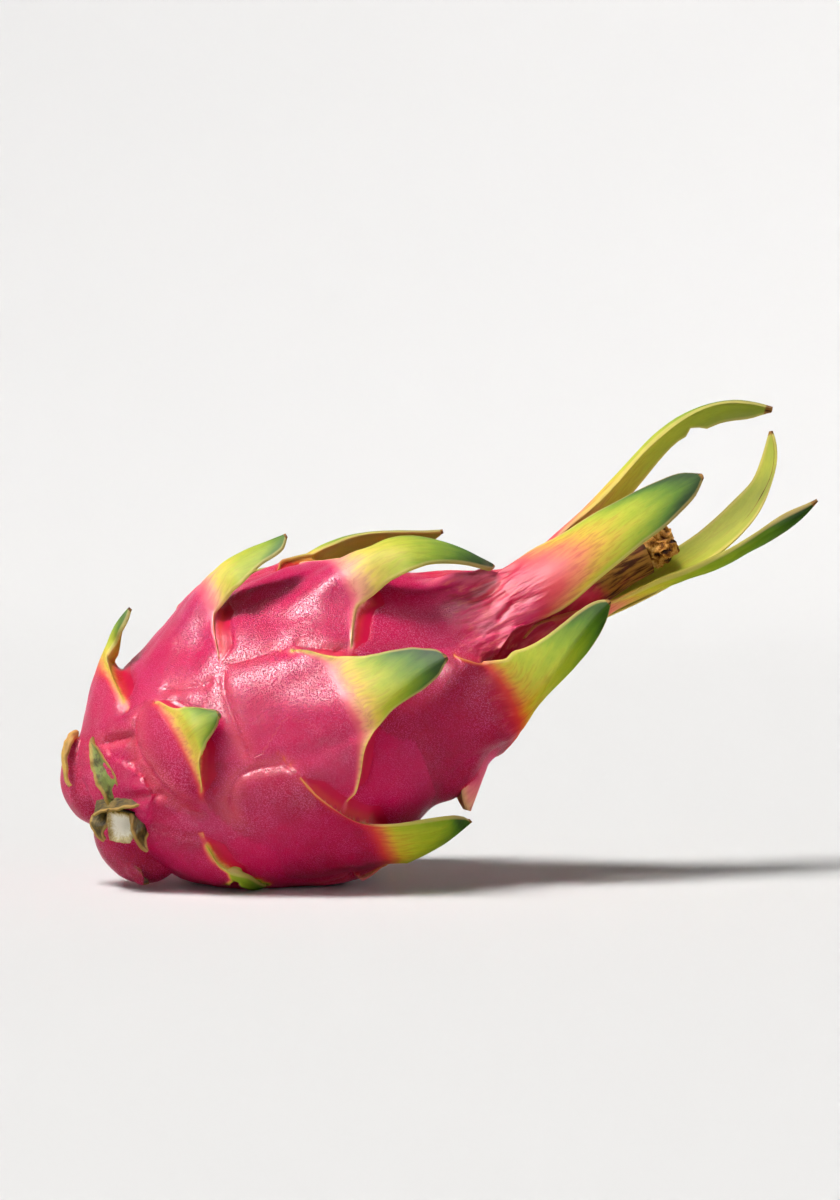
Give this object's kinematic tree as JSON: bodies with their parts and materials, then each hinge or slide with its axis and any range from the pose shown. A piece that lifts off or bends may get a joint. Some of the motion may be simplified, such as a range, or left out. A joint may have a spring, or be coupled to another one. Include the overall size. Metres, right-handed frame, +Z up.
{
  "type": "dragon fruit",
  "caption": "Whole dragon fruit lying on its side: egg-shaped body covered in fleshy overlapping scales, a crown of long bracts, a dry stem stub and a withered flower end.",
  "frame": {"origin": "middle of the flat spot of the belly that the fruit rests on, on the surface it lies on", "axes": "+Z up, +X level and towards the crown, under the fruit's own axis, which rises towards the crown, +Y level and to the far side"},
  "size_m": [0.1986, 0.0928, 0.1245],
  "materials": {
    "skin": "smooth waxy skin, magenta body with yellow to green scale tips",
    "dry_stem": "dry, matt, pale cut face with tan and green withered skin",
    "withered_flower": "dry, matt, crumpled brown"
  },
  "bodies": {
    "root": {"fruit": "skin", "stem_stub": "dry_stem", "flower_remnant": "withered_flower"}
  },
  "joints": []
}
